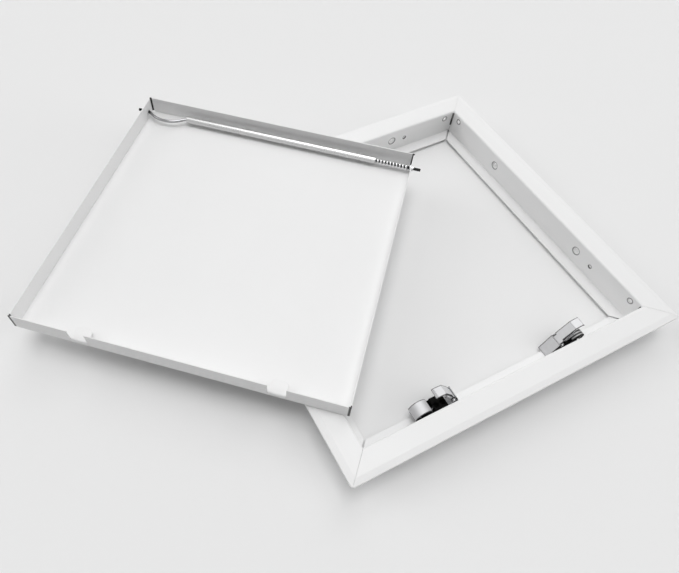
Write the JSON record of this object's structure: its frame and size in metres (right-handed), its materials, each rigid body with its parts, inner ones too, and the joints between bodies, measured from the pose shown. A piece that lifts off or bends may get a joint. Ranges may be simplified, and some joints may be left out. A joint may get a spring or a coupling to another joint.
{
  "type": "ceiling access panel",
  "caption": "White square access panel: a mitred flange frame with push latches on its lip, and a lift-off tray door with a sprung hinge rod lying turned on the frame.",
  "frame": {"origin": "middle of the frame's opening, in the plane of the lips' back faces", "axes": "+Z out of the ceiling towards the flange front, +Y from the latch bar to the far bar, +X to the right"},
  "size_m": [0.5385, 0.4711, 0.0488],
  "materials": {
    "white_coat": "satin white powder coat",
    "zinc_steel": "bright zinc plate",
    "bright_plate": "bright nickel plate",
    "black_plastic": "black moulded"
  },
  "bodies": {
    "frame": {"frame_near": "white_coat", "frame_right": "white_coat", "frame_far": "white_coat", "frame_left": "white_coat", "corner_brackets": "zinc_steel", "latch_rivets": "zinc_steel", "latch_left_bracket": "bright_plate", "latch_left_body": "black_plastic", "latch_left_pins": "zinc_steel", "latch_right_bracket": "bright_plate", "latch_right_body": "black_plastic", "latch_right_pins": "zinc_steel"},
    "rod_seat": {"hinge_spring": "zinc_steel"},
    "door": {"door_tray": "white_coat", "hinge_washer": "zinc_steel"},
    "hinge_rod": {"hinge_wire": "zinc_steel", "hinge_sleeve": "zinc_steel", "hinge_collar": "zinc_steel"},
    "latch_left_arm": {"latch_left_arm": "bright_plate", "latch_left_spring": "zinc_steel"},
    "latch_left_trigger": {"latch_left_trigger": "bright_plate"},
    "latch_right_arm": {"latch_right_arm": "bright_plate", "latch_right_spring": "zinc_steel"},
    "latch_right_trigger": {"latch_right_trigger": "bright_plate"}
  },
  "joints": [
    {"name": "door_lift", "type": "slide", "parent": "frame", "child": "rod_seat", "axis": [0, 0, 1], "range_m": [0, 0.0145]},
    {"name": "door_swing", "type": "hinge", "parent": "rod_seat", "child": "door", "pos_m": [-0.06082, 0.18826, 0.0353], "axis": [-0.7325, 0.6807, 0], "range_deg": [0, 90]},
    {"name": "rod_slide", "type": "slide", "parent": "door", "child": "hinge_rod", "axis": [0.7325, -0.6807, 0], "range_m": [0, 0.0095], "stiffness_N_per_m": 700, "springref_m": -0.004, "deforming": ["hinge_spring"]},
    {"name": "latch_left_trigger_press", "type": "hinge", "parent": "frame", "child": "latch_left_trigger", "pos_m": [-0.088, -0.14, 0.0056], "axis": [0, 1, 0], "range_deg": [0, 12], "stiffness_Nm_per_rad": 0.05, "springref_deg": -5.73},
    {"name": "latch_left_arm_close", "type": "hinge", "parent": "frame", "child": "latch_left_arm", "pos_m": [-0.057, -0.14, 0.017], "axis": [0, -1, 0], "range_deg": [0, 22]},
    {"name": "latch_right_trigger_press", "type": "hinge", "parent": "frame", "child": "latch_right_trigger", "pos_m": [0.0845, -0.14, 0.0056], "axis": [0, -1, 0], "range_deg": [0, 12], "stiffness_Nm_per_rad": 0.05, "springref_deg": -5.73},
    {"name": "latch_right_arm_close", "type": "hinge", "parent": "frame", "child": "latch_right_arm", "pos_m": [0.0625, -0.14, 0.017], "axis": [0, 1, 0], "range_deg": [0, 22]}
  ],
  "couplings": [
    {"joint": "door_lift", "follows": "door_swing", "m_per_rad": 0.009},
    {"joint": "latch_left_arm_close", "follows": "latch_left_trigger_press", "ratio": 1.8},
    {"joint": "latch_right_arm_close", "follows": "latch_right_trigger_press", "ratio": 1.8}
  ]
}
